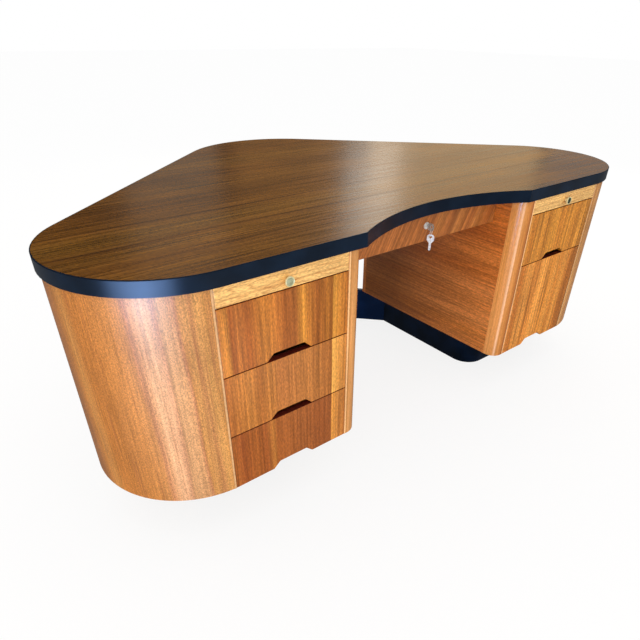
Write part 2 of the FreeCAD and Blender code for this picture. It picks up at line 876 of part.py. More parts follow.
def make_slide(side):
    name = SIDE_NAMES[side] + "_slide"
    front_x = mirrored(side, bay_inner_x + front_gap / 2, bay_outer_x - front_gap / 2)
    board_x = mirrored(side, bay_inner_x + slide_side_clearance, bay_outer_x - slide_side_clearance)
    front = make_plain_front(name + "_front", front_x, front_setback, slide_front_level)
    panel = board(name + "_board", board_x, slide_y, slide_board_level)
    return [front, panel, make_knob(side)]


def make_slide_guides(side):
    """Two rails that the slide rests on, and the dust board between it and the drawers."""
    name = SIDE_NAMES[side] + "_slide_guides"
    top = slide_board_level[0] - running_gap
    level = (top - runner_height, top)
    span = (bay_front_y, bay_rear_y)
    inner = board(name + "_inner", mirrored(side, bay_inner_x, bay_inner_x + runner_width), span, level)
    outer = board(name + "_outer", mirrored(side, bay_outer_x - runner_width, bay_outer_x), span, level)
    dust_board = board(SIDE_NAMES[side] + "_dust_board", mirrored(side, bay_inner_x, bay_outer_x),
                       (bay_front_y, bay_rear_y), (slide_level - dust_board_thickness, slide_level))
    return [group(name, [inner, outer]), dust_board]


# Pencil drawer between the pedestals

pencil_low = case_top - pencil_front_height
pencil_level = (pencil_low, case_top - front_gap / 2)
pencil_back_y = pencil_front_y + front_thickness
lock_z = case_top - lock_drop


def make_pencil_drawer():
    front_x = (pencil_side_gap - knee_half_width, knee_half_width - pencil_side_gap)
    hole = (ZERO, lock_z, lock_body_diameter / 2 + lock_hole_clearance)
    front = make_plain_front("pencil_drawer_front", front_x, pencil_front_y, pencil_level, hole)
    half_box = knee_half_width - box_side_clearance
    box = make_drawer_box("pencil_drawer", (-half_box, half_box),
                          (pencil_back_y, pencil_back_y + pencil_box_length),
                          (pencil_low + pencil_box_raise, case_top - strike_drop - pencil_box_headroom))
    return [front] + box


def make_pencil_runners():
    """Rails on the knee-side panels under the pencil drawer's sides."""
    top = pencil_low + pencil_box_raise - running_gap
    level = (top - runner_height, top)
    span = (pencil_back_y + running_gap, pencil_back_y + pencil_box_length)
    rails = [board("pencil_runner_" + SIDE_NAMES[side],
                   mirrored(side, knee_half_width - runner_width, knee_half_width), span, level)
             for side in (LEFT, RIGHT)]
    return group("pencil_runners", rails)


# Lock, keys and strike plate. Round lock pieces are drawn about the lock's axis, which points at the sitter.

lock_back = front_thickness + lock_tail
plug_back = lock_back + running_gap
key_seat = key_bow_length + key_shoulder
key_length = key_seat + lock_rim_thickness + lock_back - key_tip_gap
plug_radius = plug_diameter / 2
cam_length = lock_drop - cam_headroom


def make_lock_cylinder():
    """The fixed sleeve of the lock, with the rim that shows on the drawer front."""
    body = new_body("lock_cylinder", y=pencil_front_y, z=lock_z)
    sketch = new_sketch(body, "XY_Plane")
    bore = plug_radius + plug_clearance
    bevel = lock_rim_thickness / 3
    outline = Outline(sketch)
    outline.corner(bore, -lock_rim_thickness)
    outline.corner(lock_rim_diameter / 2 - bevel, -lock_rim_thickness)
    outline.corner(lock_rim_diameter / 2, bevel - lock_rim_thickness)
    outline.corner(lock_rim_diameter / 2, ZERO)
    outline.corner(lock_body_diameter / 2, ZERO)
    outline.corner(lock_body_diameter / 2, lock_back)
    outline.corner(bore, lock_back)
    outline.close()
    revolve(body, sketch)
    return body


def make_lock_plug():
    """The turning plug, with the slot that takes the key's blade."""
    body = new_body("lock_plug", y=pencil_front_y, z=lock_z)
    sketch = new_sketch(body, "XZ_Plane")
    circle(sketch, ZERO, ZERO, plug_radius)
    solid = pad(body, sketch, lock_rim_thickness)
    solid.SideType = "Two sides"
    bind(solid, "Length2", plug_back)
    doc.recompute()
    slot = new_sketch(body, "YZ_Plane")
    half_height = key_blade_width / 2 + keyway_clearance
    slot_end = key_length - key_seat - lock_rim_thickness + keyway_clearance
    rectangle(slot, (-lock_rim_thickness - keyway_clearance, slot_end), (-half_height, half_height))
    pocket(body, slot, key_thickness + keyway_clearance * 2, both_ways=True)
    return body


def make_lock_cam():
    """A flat arm on the back of the plug, lying to the left while the drawer is unlocked."""
    body = new_body("lock_cam", y=pencil_front_y + plug_back, z=lock_z)
    sketch = new_sketch(body, "XZ_Plane")
    half_width = cam_width / 2
    outline = Outline(sketch)
    outline.arc(ZERO, ZERO, half_width, -90, 90)
    outline.arc(half_width - cam_length, ZERO, half_width, 90, 270)
    outline.close()
    pad(body, sketch, cam_thickness, backwards=True)
    return body


def draw_key(sketch, spot):
    """Draw a flat key. spot turns a place along and across the key into one in the sketch."""
    half_bow = key_bow_width / 2
    half_blade = key_blade_width / 2
    tip = half_blade
    half_outline = [
        (ZERO, half_bow / 2),
        (half_bow / 2, half_bow),
        (key_bow_length, half_bow),
        (key_seat, half_blade),
        (key_length - tip, half_blade),
    ]
    outline = Outline(sketch)
    for along, across in half_outline:
        outline.corner(*spot(along, across))
    outline.corner(*spot(key_length, ZERO))
    for along, across in reversed(half_outline):
        outline.corner(*spot(along, -across))
    outline.close()
    circle(sketch, *spot(key_hole_inset, ZERO), key_hole_diameter / 2)


key_bow_y = -lock_rim_thickness - key_seat


def make_lock_key():
    """The key in the lock, standing on edge with its blade in the plug."""
    body = new_body("lock_key", y=pencil_front_y, z=lock_z)
    sketch = new_sketch(body, "YZ_Plane")
    draw_key(sketch, lambda along, across: (key_bow_y + along, across))
    pad(body, sketch, key_thickness, both_ways=True)
    return body


# The ring hangs in the key's hole, and the spare key hangs on the ring.
hole_y = pencil_front_y + key_bow_y + key_hole_inset
wire_radius = ring_wire / 2
wire_top_z = lock_z - key_hole_diameter / 2 + wire_radius + ring_clearance
ring_radius = ring_diameter / 2
ring_z = wire_top_z - ring_radius
spare_hole_z = ring_z - ring_radius + wire_radius + ring_clearance - key_hole_diameter / 2


def make_key_ring():
    """A ring of flat wire, turned a little about the upright as it hangs."""
    body = new_body("key_ring", y=hole_y, z=ring_z)
    sketch = new_sketch(body, "XY_Plane")
    rectangle(sketch, (ring_radius - wire_radius, ring_radius + wire_radius), (-wire_radius, wire_radius))
    revolve(body, sketch)
    bind(body, "Placement.Rotation.Angle", ring_turn)
    return body


def make_spare_key():
    """The second key, hanging from the ring square to its wire."""
    body = new_body("spare_key", y=hole_y, z=spare_hole_z + key_hole_inset)
    sketch = new_sketch(body, "YZ_Plane")
    draw_key(sketch, lambda along, across: (across, -along))
    pad(body, sketch, key_thickness, both_ways=True)
    bind(body, "Placement.Rotation.Angle", ring_turn)
    return body


def make_strike_plate():
    """An angle under the top whose drop hangs between the drawer front and the cam."""
    body = new_body("strike_plate")
    sketch = new_sketch(body, "YZ_Plane")
    front = pencil_back_y + (lock_tail - strike_thickness) / 2
    outline = Outline(sketch)
    outline.corner(front, case_top - strike_drop)
    outline.corner(front + strike_thickness, case_top - strike_drop)
    outline.corner(front + strike_thickness, case_top - strike_thickness)
    outline.corner(front + strike_leg, case_top - strike_thickness)
    outline.corner(front + strike_leg, case_top)
    outline.corner(front, case_top)
    outline.close()
    pad(body, sketch, strike_width, both_ways=True)
    return body


# Put the desk together

parts = [make_top_panel(), make_outer_band(), make_bite_band(), make_rear_plinth()]
for side in (LEFT, RIGHT):
    parts.append(make_plinth(side))
    parts.append(make_outer_wall(side))
    parts.append(make_inner_side(side))
    parts.append(make_corner_post(side))
    parts.append(make_lippings(side))
    parts.append(make_bottom(side))
    parts.extend(make_bay_sides(side))
    parts.extend(make_slide_guides(side))
    parts.extend(make_slide(side))

left_levels = [front_level(number, number + 1) for number in range(len(LEFT_DRAWERS))]
for name, level in zip(LEFT_DRAWERS, left_levels):
    parts.extend(make_drawer(name, LEFT, level))
right_levels = [left_levels[0], front_level(1, len(LEFT_DRAWERS))]
parts.extend(make_drawer("right_top_drawer", RIGHT, right_levels[0]))
parts.extend(make_drawer("right_file_drawer", RIGHT, right_levels[1]))
parts.append(make_runners(LEFT, left_levels))
parts.append(make_runners(RIGHT, right_levels))
parts.extend(make_pencil_drawer())
parts.append(make_pencil_runners())
parts.extend([make_lock_cylinder(), make_lock_plug(), make_lock_cam(), make_lock_key()])
parts.extend([make_key_ring(), make_spare_key(), make_strike_plate()])

doc.recompute()

for piece in doc.Objects:
    if "Invalid" in piece.State or "Error" in piece.State:
        raise RuntimeError("%s failed: %s" % (piece.Name, piece.State))
for piece in parts:
    if piece.Shape.isNull() or not piece.Shape.isValid():
        raise RuntimeError("%s has no valid shape" % piece.Label)

os.makedirs("parts", exist_ok=True)
for piece in parts:
    piece.Shape.exportStep("parts/%s.step" % piece.Label)
print("%d sub-parts written" % len(parts))
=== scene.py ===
import json
import math

import bpy
from mathutils import Matrix, Vector

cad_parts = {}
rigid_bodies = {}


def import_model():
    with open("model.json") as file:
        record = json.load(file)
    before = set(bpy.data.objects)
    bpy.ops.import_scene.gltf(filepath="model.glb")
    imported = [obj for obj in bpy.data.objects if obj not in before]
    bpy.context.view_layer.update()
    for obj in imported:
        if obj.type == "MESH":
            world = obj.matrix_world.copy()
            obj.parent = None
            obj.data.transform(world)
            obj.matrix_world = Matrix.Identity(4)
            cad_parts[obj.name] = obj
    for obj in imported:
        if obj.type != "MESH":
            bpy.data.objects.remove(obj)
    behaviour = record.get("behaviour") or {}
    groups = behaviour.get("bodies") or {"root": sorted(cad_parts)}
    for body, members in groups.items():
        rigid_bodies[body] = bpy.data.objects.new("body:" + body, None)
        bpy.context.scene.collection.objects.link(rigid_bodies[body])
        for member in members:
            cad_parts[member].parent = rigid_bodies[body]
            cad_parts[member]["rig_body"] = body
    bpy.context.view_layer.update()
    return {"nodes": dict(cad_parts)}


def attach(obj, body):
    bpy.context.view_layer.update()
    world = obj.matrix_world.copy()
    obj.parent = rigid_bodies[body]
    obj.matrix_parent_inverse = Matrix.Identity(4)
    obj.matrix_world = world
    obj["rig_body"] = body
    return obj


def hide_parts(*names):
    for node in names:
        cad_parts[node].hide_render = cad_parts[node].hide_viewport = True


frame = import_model()


# Plinth
# Black painted boards set back under the pedestals as a toe space, with a bent board behind the knees.
# Satin paint on wood: nearly black with a blue cast, a soft sheen and faint brush marks.

MM = 0.001


def linear(code):
    """Turn an sRGB hex colour into linear light."""
    shares = [int(code[place:place + 2], 16) / 255 for place in (1, 3, 5)]
    light = [share / 12.92 if share <= 0.04045 else ((share + 0.055) / 1.055) ** 2.4 for share in shares]
    return (*light, 1)


def new_material(name):
    """Start a material and give back its tree and its shader."""
    material = bpy.data.materials.new(name)
    material.use_nodes = True
    return material, material.node_tree, material.node_tree.nodes["Principled BSDF"]


def fill_sockets(tree, node, inputs):
    """Give each input of a node its value, or link it to another node's output."""
    for socket, value in inputs.items():
        if isinstance(value, bpy.types.NodeSocket):
            tree.links.new(value, node.inputs[socket])
        else:
            node.inputs[socket].default_value = value


def add_node(tree, kind, inputs=None, **settings):
    """Add one node with its settings and inputs."""
    made = tree.nodes.new(kind)
    for name, value in settings.items():
        setattr(made, name, value)
    fill_sockets(tree, made, inputs or {})
    return made


def set_ramp(ramp, *stops):
    """Give a colour ramp its stops, each a place and a hex colour."""
    bands = ramp.color_ramp.elements
    while len(bands) < len(stops):
        bands.new(1)
    for band, (place, code) in zip(bands, stops):
        band.position = place
        band.color = linear(code)


def scatter(tree, spot, spacing_mm, detail, warp=0.0):
    """Scatter noise over a surface, with its own spacing in mm along each axis."""
    per_metre = [1 / (spacing * MM) for spacing in spacing_mm]
    spaced = add_node(tree, "ShaderNodeMapping", {"Vector": spot, "Scale": per_metre})
    noise = add_node(tree, "ShaderNodeTexNoise",
                     {"Vector": spaced.outputs[0], "Scale": 1, "Detail": detail, "Distortion": warp})
    return noise.outputs["Fac"]


def paint_black(name, deep, worn, roughness, ripple_mm, varnish=0.0, shine=0.5):
    """Satin black paint with faint brush marks and slightly paler, rubbed patches."""
    patch_mm = (90, 90, 90)
    rubbed_from, rubbed_full = 0.4, 0.75
    ripple_depth_mm = 0.02 * ripple_mm[2]
    smoother, rougher = 0.06, 0.08
    material, tree, shader = new_material(name)
    spot = add_node(tree, "ShaderNodeTexCoord").outputs["Object"]
    strokes = scatter(tree, spot, ripple_mm, detail=3)
    patches = scatter(tree, spot, patch_mm, detail=4)
    tone = add_node(tree, "ShaderNodeValToRGB", {"Fac": patches})
    set_ramp(tone, (rubbed_from, deep), (rubbed_full, worn))
    sheen = add_node(tree, "ShaderNodeMapRange", {"Value": strokes, "To Min": roughness - smoother,
                                                  "To Max": roughness + rougher})
    marks = add_node(tree, "ShaderNodeBump", {"Height": strokes, "Strength": 1,
                                              "Distance": ripple_depth_mm * MM})
    fill_sockets(tree, shader, {
        "Base Color": tone.outputs["Color"], "Roughness": sheen.outputs["Result"],
        "Normal": marks.outputs["Normal"], "Specular IOR Level": shine, "Specular Tint": linear("#92b8ee"),
        "Coat Weight": varnish, "Coat Roughness": 0.28, "Coat Tint": linear("#daeaf8")})
    return material


def copy_node(piece_name):
    """Copy a CAD node as a piece of its own, with its loose triangles joined."""
    join_within_mm = 0.01
    flat_within = math.radians(1)
    skew_within = math.radians(40)
    node = frame["nodes"][piece_name]
    bpy.ops.object.select_all(action="DESELECT")
    piece = node.copy()
    piece.data = node.data.copy()
    piece.name = piece_name + "_finished"
    piece.parent = None
    bpy.context.scene.collection.objects.link(piece)
    piece.select_set(True)
    bpy.context.view_layer.objects.active = piece
    bpy.ops.object.mode_set(mode="EDIT")
    bpy.ops.mesh.select_all(action="SELECT")
    bpy.ops.mesh.remove_doubles(threshold=join_within_mm * MM)
    bpy.ops.mesh.customdata_custom_splitnormals_clear()
    bpy.ops.mesh.tris_convert_to_quads(face_threshold=flat_within, shape_threshold=skew_within)
    bpy.ops.object.mode_set(mode="OBJECT")
    return piece


def soften_arrises(piece, width_mm):
    """Round the sharp edges of a piece a little, as sanding does."""
    sharp_from = math.radians(40)
    soften = piece.modifiers.new("soft_arris", "BEVEL")
    soften.width = width_mm * MM
    soften.segments = 2
    soften.limit_method = "ANGLE"
    soften.angle_limit = sharp_from
    bpy.ops.object.modifier_apply(modifier=soften.name)


def level_faces(piece):
    """Shade wide faces level right up to their softened arrises."""
    level = piece.modifiers.new("level_faces", "WEIGHTED_NORMAL")
    level.keep_sharp = True
    bpy.ops.object.modifier_apply(modifier=level.name)


def finish(piece_name, material, smooth_angle=30, bevel_mm=0.0, edge_material=None):
    """Dress a copy of a CAD node in a material, with its arrises softened by bevel_mm.

    Faces that meet at less than smooth_angle are shaded as one, and at 0 every face is shaded flat.
    An edge material, if given, goes on the faces that look up or down.
    """
    looks_up = 0.8
    piece = copy_node(piece_name)
    if bevel_mm:
        soften_arrises(piece, bevel_mm)
    if smooth_angle:
        bpy.ops.object.shade_smooth_by_angle(angle=math.radians(smooth_angle))
    else:
        bpy.ops.object.shade_flat()
    if bevel_mm:
        level_faces(piece)
    piece.data.materials.clear()
    piece.data.materials.append(material)
    if edge_material:
        piece.data.materials.append(edge_material)
        for face in piece.data.polygons:
            face.material_index = 1 if abs(face.normal.z) > looks_up else 0
    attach(piece, frame["nodes"][piece_name]["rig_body"])
    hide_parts(piece_name)
    return piece


def finish_all(names, material, **details):
    """Finish several nodes alike."""
    for name in names:
        finish(name, material, **details)


brush_mm = (60, 60, 2.5)
plinth_paint = paint_black("satin_black_paint", "#030814", "#071834", 0.34, brush_mm)
finish_all(("plinth_left", "plinth_right"), plinth_paint, bevel_mm=1.0)
# The rear board gets a paler, bluer copy of the black paint: painted light and sheen for the board that
# faces the room.
rear_paint_lit = paint_black("satin_navy_paint", "#051a40", "#0a2a5c", 0.34, brush_mm)
finish_all(("plinth_rear",), rear_paint_lit, bevel_mm=1.0)


# Pedestal walls and knee-side panels
# Bent and flat plywood faced with ribbon-stripe mahogany veneer, lacquered to a soft gloss.
# Quarter-cut leaves show long upright ribbons from pale to dark, crossed by fine ticks and pores.

# Turns in degrees that lay the grain of a leaf along an axis, and the range that noise seldom leaves.
GRAIN_UP = (0, 0, 0)
GRAIN_ALONG_X = (90, 0, 90)
GRAIN_ALONG_Y = (90, 0, 0)
NOISE_LOW, NOISE_HIGH = 0.3, 0.7


def unroll_wall(tree, laid, radius_mm, straight_from):
    """Measure the way round a wall bent to a radius, which runs on straight from an angle."""
    ring = 2 * math.pi * radius_mm * MM
    bend_end = (math.pi + straight_from) * radius_mm * MM
    ahead = (math.sin(straight_from), -math.cos(straight_from), 0)
    turned = add_node(tree, "ShaderNodeTexGradient", {0: laid}, gradient_type="RADIAL")
    arc = add_node(tree, "ShaderNodeMath", {0: turned.outputs["Fac"], 1: ring}, operation="MULTIPLY")
    bent = add_node(tree, "ShaderNodeMath", {0: arc.outputs[0], 1: bend_end}, operation="MAXIMUM")
    past = add_node(tree, "ShaderNodeVectorMath", {0: laid, 1: ahead}, operation="DOT_PRODUCT")
    straight = add_node(tree, "ShaderNodeMath", {0: past.outputs["Value"], 1: 0}, operation="MAXIMUM")
    return add_node(tree, "ShaderNodeMath", {0: bent.outputs[0], 1: straight.outputs[0]},
                    operation="SUBTRACT").outputs[0]


def lay_leaf(tree, grain, across, start_mm, flip, bend, lean):
    """Lay a leaf on a piece, and give back a point on it, its way across and its way along the grain."""
    spot = add_node(tree, "ShaderNodeTexCoord").outputs["Object"]
    laid = add_node(tree, "ShaderNodeMapping",
                    {"Vector": spot, "Location": [place * MM for place in start_mm],
                     "Rotation": [math.radians(angle) for angle in grain], "Scale": flip},
                    vector_type="TEXTURE").outputs[0]
    axes = add_node(tree, "ShaderNodeSeparateXYZ", {0: laid}).outputs
    along = axes["Z"]
    depth = axes["X" if across == "Y" else "Y"]
    upright = unroll_wall(tree, laid, *bend) if bend else axes[across]
    slant = add_node(tree, "ShaderNodeMath", {0: along, 1: lean}, operation="MULTIPLY")
    leaned = add_node(tree, "ShaderNodeMath", {0: upright, 1: slant.outputs[0]}, operation="ADD").outputs[0]
    point = add_node(tree, "ShaderNodeCombineXYZ", {"X": leaned, "Y": depth, "Z": along}).outputs[0]
    return point, leaned, along


def colour_ribbons(tree, leaf, point, across, wander_mm):
    """Colour a leaf from its row of stops, with ribbons that wander a little along the grain."""
    wander_length_mm = (70, 70, 520)
    first, last = leaf[0][0], leaf[-1][0]
    drift = add_node(tree, "ShaderNodeMapRange", {"Value": scatter(tree, point, wander_length_mm, detail=2),
                                                  "To Min": -wander_mm * MM, "To Max": wander_mm * MM})
    moved = add_node(tree, "ShaderNodeMath", {0: across, 1: drift.outputs["Result"]}, operation="ADD")
    share = add_node(tree, "ShaderNodeMapRange", {"Value": moved.outputs[0], "From Min": first * MM,
                                                  "From Max": last * MM})
    tone = add_node(tree, "ShaderNodeValToRGB", {"Fac": share.outputs["Result"]})
    set_ramp(tone, *[((edge - first) / (last - first), code) for edge, code in leaf])
    return tone.outputs["Color"]


def shade_grain(tree, colour, patterns):
    """Multiply patterns into a colour, each with its low and high and the light it gives there."""
    light = 1.0
    for pattern, low, high, low_light, high_light in patterns:
        share = add_node(tree, "ShaderNodeMapRange", {"Value": pattern, "From Min": low, "From Max": high,
                                                      "To Min": low_light, "To Max": high_light})
        light = add_node(tree, "ShaderNodeMath", {0: light, 1: share.outputs["Result"]},
                         operation="MULTIPLY").outputs[0]
    return add_node(tree, "ShaderNodeMix", {"Factor": 1, "A": colour, "B": light},
                    data_type="RGBA", blend_type="MULTIPLY").outputs["Result"]


def stain(tree, colour, code, pattern, clear_at, full_at, strength):
    """Stain a colour with another, up to a strength, as a pattern goes from clear to full."""
    share = add_node(tree, "ShaderNodeMapRange", {"Value": pattern, "From Min": clear_at,
                                                  "From Max": full_at, "To Max": strength})
    return add_node(tree, "ShaderNodeMix",
                    {"Factor": share.outputs["Result"], "A": colour, "B": linear(code)},
                    data_type="RGBA").outputs["Result"]


def draw_arches(tree, point):
    """Draw the long arches of flat-cut wood, as a value that is 0 on each line."""
    arch_mm = (26, 26, 230)
    arch_count = 9
    half_way = 0.5
    hills = scatter(tree, point, arch_mm, detail=1)
    steps = add_node(tree, "ShaderNodeMath", {0: hills, 1: arch_count}, operation="MULTIPLY")
    return add_node(tree, "ShaderNodeMath", {0: steps.outputs[0], 1: half_way},
                    operation="PINGPONG").outputs[0]


def open_pores(tree, pores, fibres, open_grain_mm):
    """Sink the pores into the surface, and the fibres too where the finish leaves the grain open."""
    pore_depth_mm = 0.15
    pore_bump = 0.12
    relief = add_node(tree, "ShaderNodeBump", {"Height": pores, "Strength": pore_bump,
                                               "Distance": pore_depth_mm * MM}, invert=True)
    if open_grain_mm:
        relief = add_node(tree, "ShaderNodeBump", {"Height": fibres, "Strength": 1,
                                                   "Distance": open_grain_mm * MM,
                                                   "Normal": relief.outputs["Normal"]})
    return relief.outputs["Normal"]


def lay_veneer(name, leaf, grain=GRAIN_UP, across="X", start_mm=(0, 0, 0), flip=(1, 1, 1), bend=None,
               lean=0.0, wander_mm=9, fibre=0.34, fibre_width_mm=6, tick=0.2, tick_mm=(3.2, 3.2, 9),
               cloud=(0.9, 1.08), painted_shade=None, streak=("#7a3c1c", 0.4), arches=0.0, open_grain_mm=0.0,
               gloss=0.36, lacquer=0.2):
    """Veneer whose leaf is a row of (mm across, colour) stops, with fibres, streaks and pores along it.

    start_mm is where the leaf is measured from. bend is the radius in mm of a wall it is bent round, and
    the angle where that wall runs on straight. painted_shade is two (mm along the grain, light) ends,
    between which the colour is darkened or lightened more and more, as painted shade and light. Pores are
    drawn wider than real ones, so that they show.
    """
    fibre_length_mm = 40 * fibre_width_mm
    fibre_mm = (fibre_width_mm, fibre_width_mm, fibre_length_mm)
    streak_mm = (8, 8, 420)
    pore_mm = (1.1, 1.1, 18)
    cloud_mm = (120, 120, 200)
    arch_edge, arch_middle = 0.2, 0.0
    streak_edge, streak_middle = 0.56, 0.7
    pore_edge, pore_middle, pore_strength = 0.6, 0.75, 0.4
    smoother, rougher = 0.05, 0.06
    material, tree, shader = new_material(name)
    point, across_leaf, along = lay_leaf(tree, grain, across, start_mm, flip, bend, lean)
    fibres = scatter(tree, point, fibre_mm, detail=6, warp=0.15)
    pores = scatter(tree, point, pore_mm, detail=2)
    patterns = [(fibres, NOISE_LOW, NOISE_HIGH, 1 - fibre, 1 + fibre),
                (scatter(tree, point, tick_mm, detail=2), NOISE_LOW, NOISE_HIGH, 1 - tick, 1 + tick),
                (scatter(tree, point, cloud_mm, detail=3), NOISE_LOW, NOISE_HIGH, *cloud)]
    if painted_shade:
        (dark_end, dark_light), (pale_end, pale_light) = painted_shade
        patterns.append((along, dark_end * MM, pale_end * MM, dark_light, pale_light))
    colour = shade_grain(tree, colour_ribbons(tree, leaf, point, across_leaf, wander_mm), patterns)
    streak_code, streak_strength = streak
    if arches:
        colour = stain(tree, colour, streak_code, draw_arches(tree, point), arch_edge, arch_middle, arches)
    streaks = scatter(tree, point, streak_mm, detail=3, warp=0.4)
    colour = stain(tree, colour, streak_code, streaks, streak_edge, streak_middle, streak_strength)
    colour = stain(tree, colour, streak_code, pores, pore_edge, pore_middle, pore_strength)
    sheen = add_node(tree, "ShaderNodeMapRange",
                     {"Value": fibres, "From Min": NOISE_LOW, "From Max": NOISE_HIGH,
                      "To Min": gloss - smoother, "To Max": gloss + rougher})
    fill_sockets(tree, shader, {
        "Base Color": colour, "Roughness": sheen.outputs["Result"],
        "Normal": open_pores(tree, pores, fibres, open_grain_mm), "IOR": 1.48,
        "Coat Weight": lacquer, "Coat Roughness": 0.22})
    return material


LOBE_X, LOBE_Y, WALL_RADIUS = 736, -325, 277
SEAM_ANGLE = 110
STRAIGHT_ANGLE = 157
# Each ribbon has its turn in degrees round the end of the desk, counted from the front. The pale ribbons
# between 22 and 35 degrees are pale veneer and partly a painted highlight, the sheen of a window in the
# lacquer.
wall_ribbons_and_highlight = (
    (240, "#b86e34"), (200, "#c47c3c"), (157, "#b06a32"), (120, "#c67e3e"), (100, "#b4723a"),
    (82, "#b8763c"), (76, "#ca823a"), (72, "#d49044"), (66, "#c87c30"), (56, "#c87e34"), (45, "#d08840"),
    (39, "#cc8a4c"), (36.5, "#c6865a"), (34.5, "#dea06e"), (31, "#eab284"), (27, "#e2a87c"),
    (25.7, "#c48a64"), (24.5, "#d09a68"), (22, "#dca470"), (18, "#d49a66"), (16.5, "#b87850"),
    (15, "#d0924e"), (11, "#ce9252"), (9.5, "#bc7e4a"), (6.5, "#d69a54"), (3, "#c88a46"), (0, "#bc8040"))
wall_leaf_and_highlight = [(math.radians(180 + SEAM_ANGLE - turn) * WALL_RADIUS, code) for turn, code in wall_ribbons_and_highlight]
wall_bend = (WALL_RADIUS, math.radians(SEAM_ANGLE - STRAIGHT_ANGLE))
for side, sign, wall_turn in (("left", -1, 50), ("right", 1, -90)):
    wall_veneer = lay_veneer(side + "_wall_veneer", wall_leaf_and_highlight, grain=(0, 0, wall_turn + SEAM_ANGLE),
                             start_mm=(sign * LOBE_X, LOBE_Y, 0), flip=(1, -sign, 1), bend=wall_bend,
                             lean=0.03, wander_mm=14, fibre=0.22, tick=0.34, tick_mm=(2.6, 2.6, 4),
                             cloud=(0.86, 1.14), streak=("#a05a36", 0.4))
    finish_all((side + "_outer_wall",), wall_veneer, bevel_mm=0.6)

side_leaf = [
    (150, "#c07434"), (210, "#b06828"), (270, "#c2783a"), (330, "#b46c30"), (390, "#c0763a"),
    (450, "#a85e24"), (520, "#b86c2e"), (590, "#a2561e"), (660, "#b06426"), (725, "#a45a20")]
# The side panels darken along their grain towards the rear of the knee space and lighten towards the front:
# painted shade and light.
side_veneer = lay_veneer("mahogany_side_veneer", side_leaf, GRAIN_ALONG_Y, across="Y", tick=0.26,
                         painted_shade=((50, 0.5), (520, 1.5)))
finish_all(("left_inner_side", "right_inner_side"), side_veneer, bevel_mm=0.6)


# Corner posts and lippings
# Solid mahogany: a post rounded at the knee-side corner, and thin pale strips beside the drawers.
# Straight plain grain, with a glossier coat of lacquer on the posts.

# On the right post the side facing the knee space, from 335 mm, is painted light, and the pale stripe at 347
# to 350 mm is a painted highlight along its round.
post_leaf_with_highlight = [
    (-382, "#c88848"), (-375, "#e29e5a"), (-348, "#e29e5a"), (-335, "#cc8a4a"), (335, "#f6a85c"),
    (345, "#e89a50"), (347, "#ffd0a8"), (350, "#ffc294"), (352, "#e29850"), (364, "#d88a40"),
    (374, "#c07434"), (382, "#a8642c")]
post_wood = lay_veneer("solid_mahogany", post_leaf_with_highlight, wander_mm=1, fibre=0.16, tick=0.1,
                       streak=("#9a5a2c", 0.25), gloss=0.24, lacquer=0.7)
finish_all(("left_corner_post", "right_corner_post"), post_wood, bevel_mm=0.8)
lipping_leaf = [(-760, "#e8b680"), (-380, "#ffc688"), (380, "#ffc688"), (760, "#e8b680")]
lipping_wood = lay_veneer("pale_lipping", lipping_leaf, fibre=0.1, streak=("#b98a54", 0.25))
finish_all(("left_lippings", "right_lippings"), lipping_wood, bevel_mm=0.4)


# Carcass inside the pedestals
# Plain plywood and deal: bay sides, dust boards, bottoms and the rails that carry the drawers.
# Unstained and unpolished, with faint straight grain.

deal_leaf = [
    (-760, "#c39a66"), (-520, "#b68a56"), (-380, "#c49c68"), (0, "#b88c58"), (380, "#c49c68"),
    (520, "#b68a56"), (760, "#c39a66")]
carcass_wood = lay_veneer("bare_deal", deal_leaf, GRAIN_ALONG_Y, streak=("#8a6238", 0.3), gloss=0.6,
                          lacquer=0.0)
carcass_names = [side + piece for side in ("left_", "right_") for piece in
                 ("bay_inner", "bay_outer", "bottom", "dust_board", "runners", "slide_guides")]
finish_all(carcass_names + ["pencil_runners"], carcass_wood)


# Writing slides
# A pale oak board that pulls out under the top, with an oak front strip and a turned brass knob.
# Flat-cut oak: grain along the width in long arches, with dark broken pores.

oak_leaf = [(-620, "#f6c478"), (-560, "#f0b868"), (-300, "#e8b870"), (120, "#d8a258")]
slide_oak = lay_veneer("pale_oak", oak_leaf, GRAIN_ALONG_X, wander_mm=30, fibre=0.2, tick=0.3,
                       streak=("#b0692a", 0.5), arches=0.45)
slide_names = [side + piece for side in ("left_", "right_") for piece in ("slide_front", "slide_board")]
finish_all(slide_names, slide_oak)


def cast_metal(name, bright, dull, roughness, metal):
    """Polished metal gone dull in patches, with rubbing marks that break up its shine.

    The marks are drawn wider than real ones, so that they show.
    """
    patch_mm = (6, 6, 6)
    rub_mm = (0.5, 0.5, 5)
    rub_depth_mm = 0.05
    dull_from, bright_from = 0.38, 0.62
    smoother, rougher = 0.08, 0.12
    material, tree, shader = new_material(name)
    spot = add_node(tree, "ShaderNodeTexCoord").outputs["Object"]
    patches = scatter(tree, spot, patch_mm, detail=4)
    rubs = scatter(tree, spot, rub_mm, detail=2)
    tone = add_node(tree, "ShaderNodeValToRGB", {"Fac": patches})
    set_ramp(tone, (dull_from, dull), (bright_from, bright))
    sheen = add_node(tree, "ShaderNodeMapRange", {"Value": rubs, "To Min": roughness - smoother,
                                                  "To Max": roughness + rougher})
    marks = add_node(tree, "ShaderNodeBump", {"Height": rubs, "Strength": 0.08,
                                              "Distance": rub_depth_mm * MM})
    fill_sockets(tree, shader, {
        "Base Color": tone.outputs["Color"], "Roughness": sheen.outputs["Result"],
        "Normal": marks.outputs["Normal"], "Metallic": metal})
    return material


